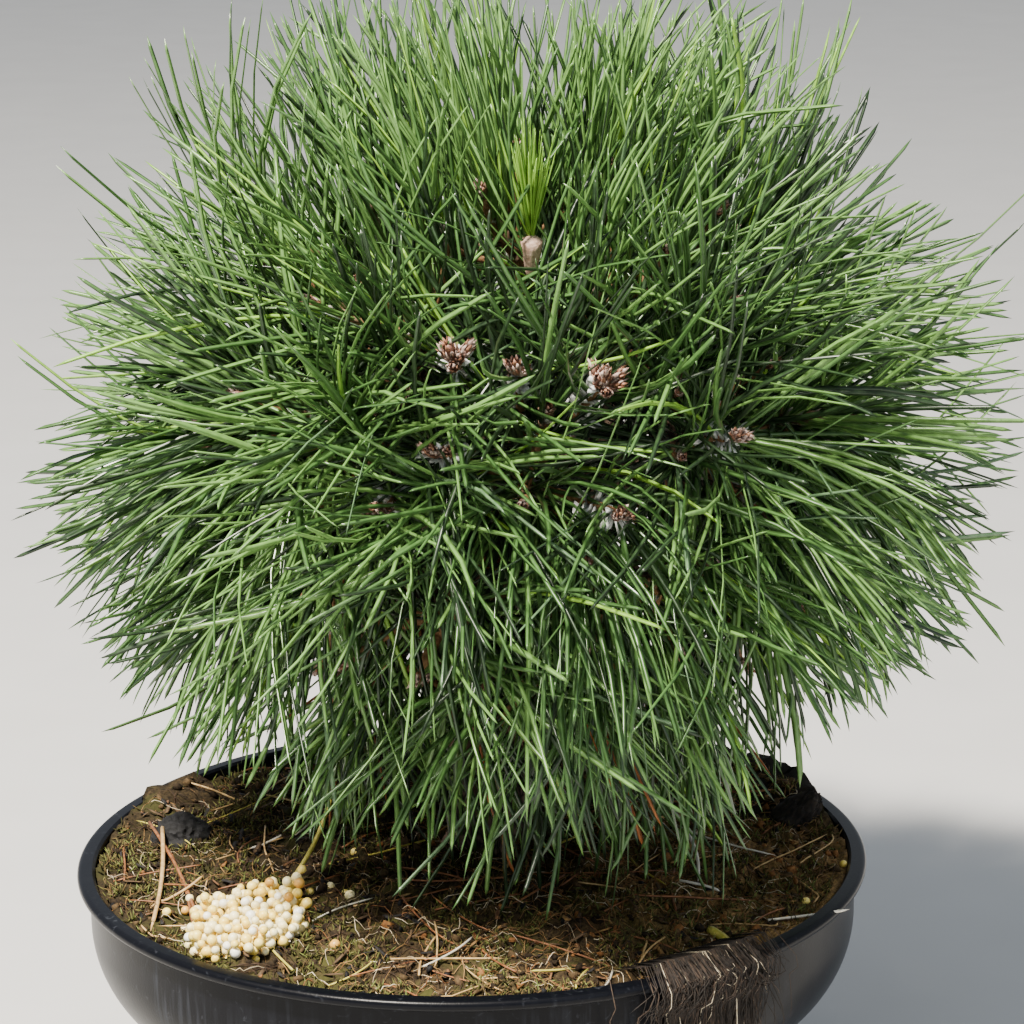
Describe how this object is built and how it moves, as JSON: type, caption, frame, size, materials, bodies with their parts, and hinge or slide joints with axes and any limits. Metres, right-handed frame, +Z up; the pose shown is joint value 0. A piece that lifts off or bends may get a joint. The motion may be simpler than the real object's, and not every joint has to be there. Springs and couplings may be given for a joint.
{
  "type": "potted mugo pine",
  "caption": "Young mugo pine with a ball of long needles on short upright boughs, rooted in a shallow black plastic planting bowl filled with peaty growing mix.",
  "frame": {"origin": "middle of the bowl's flat underside", "axes": "+Z up along the bowl's axis, -Y towards the front of the plant as pictured, +X to the right"},
  "size_m": [0.2735, 0.2749, 0.3262],
  "materials": {
    "black_polypropylene": "moulded black polypropylene, satin, with dried lime streaks",
    "peat_mix": "damp peaty growing mix with moss and litter",
    "feed_prills": "resin-coated slow-release feed, cream to yellow",
    "charred_bark": "dark composted bark",
    "root_fibre": "dried mat of fine roots",
    "pine_bark": "scaly grey-brown pine bark",
    "pine_needles": "waxy green needles"
  },
  "bodies": {
    "root": {"bark_lump": "charred_bark", "bough_low_1": "pine_bark", "bough_low_2": "pine_bark", "bough_low_3": "pine_bark", "bough_low_4": "pine_bark", "bough_middle_1": "pine_bark", "bough_middle_2": "pine_bark", "bough_middle_3": "pine_bark", "bough_middle_4": "pine_bark", "bough_middle_5": "pine_bark", "bough_middle_6": "pine_bark", "bough_middle_7": "pine_bark", "bough_middle_8": "pine_bark", "bough_shoulder_1": "pine_bark", "bough_shoulder_2": "pine_bark", "bough_shoulder_3": "pine_bark", "bough_shoulder_4": "pine_bark", "bough_shoulder_5": "pine_bark", "bough_skirt_1": "pine_bark", "bough_skirt_2": "pine_bark", "bough_skirt_3": "pine_bark", "bough_skirt_4": "pine_bark", "bough_skirt_5": "pine_bark", "bough_skirt_6": "pine_bark", "bough_skirt_7": "pine_bark", "bowl": "black_polypropylene", "feed_heap": "feed_prills", "foliage_leader": "pine_needles", "foliage_low_1": "pine_needles", "foliage_low_2": "pine_needles", "foliage_low_3": "pine_needles", "foliage_low_4": "pine_needles", "foliage_middle_1": "pine_needles", "foliage_middle_2": "pine_needles", "foliage_middle_3": "pine_needles", "foliage_middle_4": "pine_needles", "foliage_middle_5": "pine_needles", "foliage_middle_6": "pine_needles", "foliage_middle_7": "pine_needles", "foliage_middle_8": "pine_needles", "foliage_shoulder_1": "pine_needles", "foliage_shoulder_2": "pine_needles", "foliage_shoulder_3": "pine_needles", "foliage_shoulder_4": "pine_needles", "foliage_shoulder_5": "pine_needles", "foliage_skirt_1": "pine_needles", "foliage_skirt_2": "pine_needles", "foliage_skirt_3": "pine_needles", "foliage_skirt_4": "pine_needles", "foliage_skirt_5": "pine_needles", "foliage_skirt_6": "pine_needles", "foliage_skirt_7": "pine_needles", "mix_clod": "peat_mix", "root_mat": "root_fibre", "soil": "peat_mix", "trunk": "pine_bark"}
  },
  "joints": []
}
